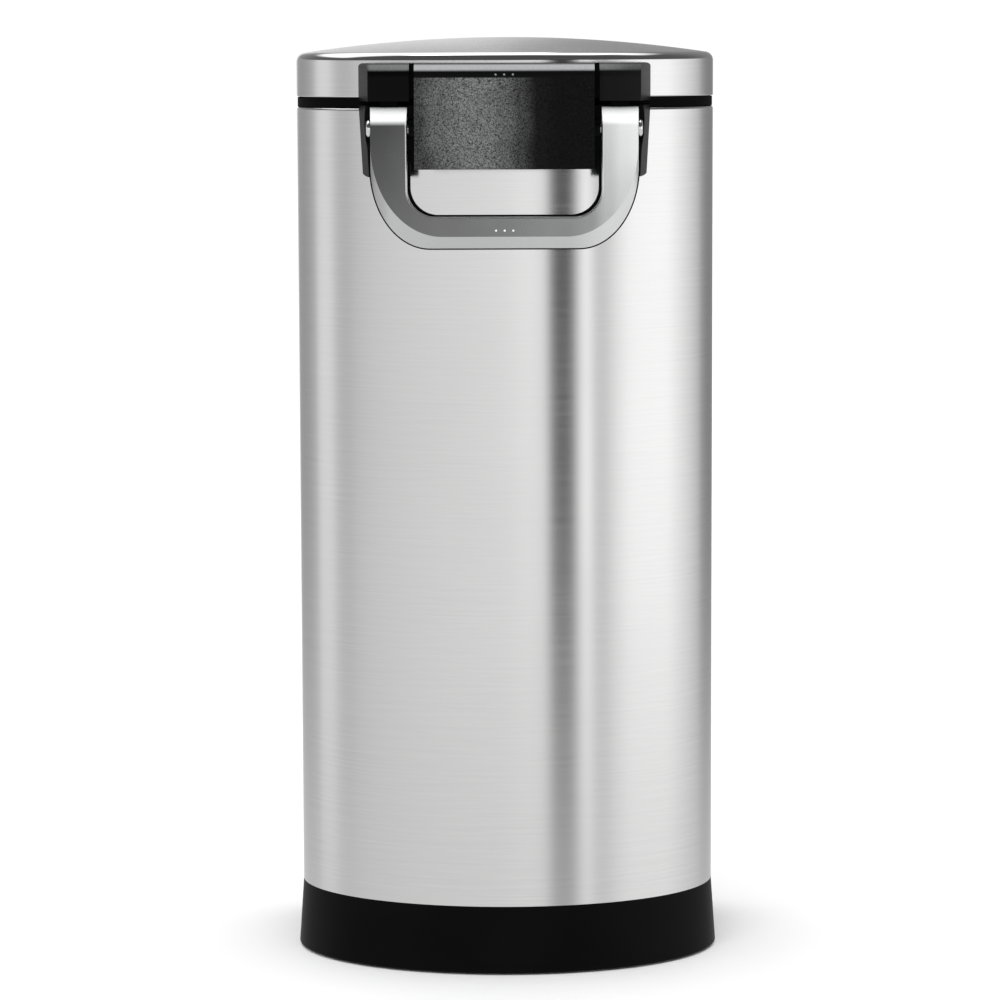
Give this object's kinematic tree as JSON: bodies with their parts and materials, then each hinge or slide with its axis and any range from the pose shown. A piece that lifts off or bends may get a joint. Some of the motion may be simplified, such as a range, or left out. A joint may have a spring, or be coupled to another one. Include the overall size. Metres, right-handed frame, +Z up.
{
  "type": "lidded storage bin",
  "caption": "Tall bow-fronted steel storage can with a domed hinged lid, a flared black plinth and a U-shaped locking handle on the front.",
  "frame": {"origin": "on the floor, under the centre of the bounding box", "axes": "+Z up, -Y towards the bowed front with the latch, +X to the right of a person who faces the front"},
  "size_m": [0.2994, 0.2745, 0.6479],
  "materials": {
    "brushed_steel_sheet": "horizontally brushed stainless sheet",
    "zinc_steel": "bright zinc",
    "polished_steel": "polished",
    "black_plastic": "fine matte grain",
    "grained_black_plastic": "coarse leather-like grain",
    "gloss_black_plastic": "smooth gloss",
    "grey_plastic": "smooth matte",
    "clear_grey_plastic": "smooth",
    "satin_grey_casting": "satin metallic grey",
    "black_rubber": "matte",
    "white_enamel": "smooth gloss paint"
  },
  "bodies": {
    "can": {"body_shell": "brushed_steel_sheet", "rim_collar": "black_rubber", "inner_bucket": "grey_plastic", "backing_plate": "zinc_steel", "latch_bracket": "black_plastic", "bracket_screws": "zinc_steel", "pivot_screw_left": "polished_steel", "pivot_screw_right": "polished_steel", "hinge_base": "black_plastic", "hinge_base_screws": "zinc_steel", "hinge_pin": "polished_steel", "base_skirt": "black_plastic", "base_floor": "black_plastic", "base_feet": "black_rubber", "base_screws": "zinc_steel", "wheel_axle": "zinc_steel"},
    "lid": {"lid_shell": "brushed_steel_sheet", "lid_liner": "grey_plastic", "lid_gasket": "black_rubber", "lid_latch_housing": "gloss_black_plastic", "housing_screws": "zinc_steel", "catch_tabs": "black_rubber", "latch_plate": "grained_black_plastic", "latch_plate_dots": "grey_plastic", "lid_hinge_arm": "black_plastic", "hinge_arm_screws": "zinc_steel", "dock_magnet": "zinc_steel"},
    "handle": {"handle_bail": "satin_grey_casting", "handle_grip_back": "black_rubber", "handle_bushes": "black_plastic", "handle_bumpers": "black_rubber", "handle_dots": "white_enamel"},
    "scoop_body": {"scoop": "clear_grey_plastic", "scoop_keeper": "zinc_steel"},
    "left_wheel": {"wheel_hub_left": "black_plastic", "wheel_tyre_left": "black_rubber"},
    "right_wheel": {"wheel_hub_right": "black_plastic", "wheel_tyre_right": "black_rubber"}
  },
  "joints": [
    {"name": "lid_hinge", "type": "hinge", "parent": "can", "child": "lid", "pos_m": [0, 0.131, 0.6045], "axis": [-1, 0, 0], "range_deg": [0, 95]},
    {"name": "handle_pivot", "type": "hinge", "parent": "can", "child": "handle", "pos_m": [0, -0.127, 0.5863], "axis": [-1, 0, 0], "range_deg": [0, 118]},
    {"name": "scoop_release", "type": "slide", "parent": "lid", "child": "scoop_body", "axis": [0, 0, -1], "range_m": [0, 0.1]},
    {"name": "left_wheel_spin", "type": "hinge", "parent": "can", "child": "left_wheel", "pos_m": [-0.095, 0.117, 0.022], "axis": [1, 0, 0], "continuous": true},
    {"name": "right_wheel_spin", "type": "hinge", "parent": "can", "child": "right_wheel", "pos_m": [0.095, 0.117, 0.022], "axis": [1, 0, 0], "continuous": true}
  ]
}
